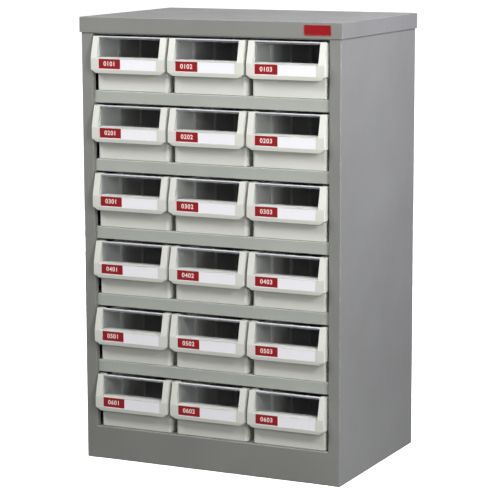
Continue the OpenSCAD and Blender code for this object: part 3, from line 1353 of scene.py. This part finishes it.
    def build(self, layout: Layout) -> None:
        """Models each part once and copies it into every bay.

        Args:
            layout: Where the bays are.
        """
        models = {
            "bin": (self.bin(), Finish.BIN),
            "window": (self.window(), Finish.WINDOW),
            "label": (self.label(), Finish.LABEL),
            "tag": (self.tag_plate(), Finish.TAG),
        }
        for row, column, origin in layout.bays():
            bay = f"r{row}c{column}"
            for part, (model, finish) in models.items():
                nodes = [f"drawer_{part}_{bay}"] if part in ("bin", "window") else []
                model.copy(f"{part}_{bay}", origin).settle(finish, f"drawer_{bay}", *nodes)
            number = self.figures(f"figures_{bay}", f"{row:02d}{column:02d}")
            number.move(origin)
            number.settle(Finish.FIGURES, f"drawer_{bay}")
        for model, _ in models.values():
            bpy.data.objects.remove(model.item)


# ---- stage ----


@dataclass(frozen=True)
class Softbox:
    """A square softbox: where it stands, what it faces, its side and its power in watts."""

    name: str
    place: Point
    target: Point
    size: float
    power: float
    colour: Colour = WHITE

    def hang(self) -> None:
        """Hangs it in the studio."""
        lamp = bpy.data.lights.new(self.name, "AREA")
        lamp.shape = "SQUARE"
        lamp.size = self.size
        lamp.energy = self.power
        lamp.color = self.colour
        holder = bpy.data.objects.new(self.name, lamp)
        bpy.context.scene.collection.objects.link(holder)
        place = Vector(self.place)
        turn = (Vector(self.target) - place).to_track_quat("-Z", "Y").to_matrix().to_4x4()
        holder.matrix_world = Matrix.Translation(place) @ turn


@dataclass
class Studio:
    """Floor, lights, world and camera."""

    layout: Layout
    softboxes: tuple[Softbox, ...] = (
        Softbox("side_softbox", (1.8, 0.0, 2.2), (0.2, 0.0, 0.8), 0.8, 54.0, (0.835, 0.81, 1.0)),
        Softbox("key_softbox", (2.3, -2.1, 0.8), (0.0, 0.0, 0.4), 0.5, 22.0),
        Softbox("near_softbox", (1.5, -1.2, 1.3), (0.0, 0.0, 0.7), 0.4, 16.0),
        Softbox("front_softbox", (1.7, -3.2, 1.7), (0.0, 0.0, 0.6), 0.8, 9.0),
        Softbox("left_softbox", (-0.9, -1.5, 2.2), (0.0, 0.0, 0.7), 0.8, 33.0),
        Softbox("back_softbox", (-1.7, 3.2, 0.45), (0.0, 0.0, 0.5), 0.8, 80.0),
        Softbox("sweep_light", (0.0, 6.5, 6.0), (0.0, 6.6, 0.0), 8.0, 450.0),
    )
    world_light: float = 0.19
    floor_side: float = 30.0
    sweep_height: float = 14.0
    sweep_radius: float = 5.0
    glow: float = 0.72
    eye: Point = (1.9388, -3.8505, 1.1775)
    yaw: float = -25.606
    pitch: float = -9.362
    roll: float = -0.164
    focal_pixels: float = 2133.1
    frame_pixels: float = 500.0
    sensor: float = 36.0

    def build(self) -> None:
        """Sets the stage."""
        self.floor()
        self.world()
        for softbox in self.softboxes:
            softbox.hang()
        self.camera()
        view = bpy.context.scene.view_settings
        view.view_transform = "Standard"
        view.look = "None"

    def floor(self) -> None:
        """A pale sweep: a floor that curves up far off on all four sides."""
        size, add = (self.floor_side, self.floor_side, 1), bpy.ops.mesh.primitive_plane_add
        floor = Piece.added("studio_floor", add, size, size=1.0, location=(0, 0, 0))
        with floor.editing(Part.EDGES):
            bpy.ops.mesh.extrude_edges_move(TRANSFORM_OT_translate={"value": (0, 0, self.sweep_height)})
        floor.round_edges(lambda p, _: p.z < TINY, self.sweep_radius, 12)
        floor.alone()
        bpy.ops.object.shade_smooth()
        recipe = Recipe("studio_paper")
        tone = recipe.mix(recipe.noise(0.8, 2.0).over(0.3, 0.7), srgb(244, 244, 244), srgb(250, 250, 250))
        glow = {"Emission_Color": (*WHITE, 1.0), "Emission_Strength": self.glow}
        floor.mesh.materials.append(recipe.surface(Base_Color=tone, Roughness=0.85, **glow))
        floor.item.visible_diffuse = floor.item.visible_glossy = False

    def world(self) -> None:
        """Even pale light from all round."""
        world = bpy.data.worlds.new("studio")
        world.use_nodes = True
        background = world.node_tree.nodes["Background"]
        background.inputs["Color"].default_value = (*WHITE, 1.0)
        background.inputs["Strength"].default_value = self.world_light
        bpy.context.scene.world = world

    def camera(self) -> None:
        """The camera, with its place counted from the body's front plane."""
        lens = bpy.data.cameras.new("camera")
        lens.sensor_width = self.sensor
        lens.lens = self.focal_pixels * self.sensor / self.frame_pixels
        lens.clip_end = 100.0
        camera = bpy.data.objects.new("camera", lens)
        bpy.context.scene.collection.objects.link(camera)
        place = Matrix.Translation(Vector(self.eye) + Vector((0, self.layout.front, 0)))
        for degrees, axis in ((-self.yaw, "Z"), (90 + self.pitch, "X"), (self.roll, "Z")):
            place = place @ Matrix.Rotation(math.radians(degrees), 4, axis)
        camera.matrix_world = place
        bpy.context.scene.camera = camera


def main() -> None:
    """Builds the cabinet in order."""
    logging.basicConfig(level=logging.INFO, format="%(name)s: %(message)s")
    layout = Layout()
    Cover().build()
    Carcass(layout).build()
    BackScrews(layout).build()
    Drawer().build(layout)
    Studio(layout).build()


if __name__ == "__main__":
    main()
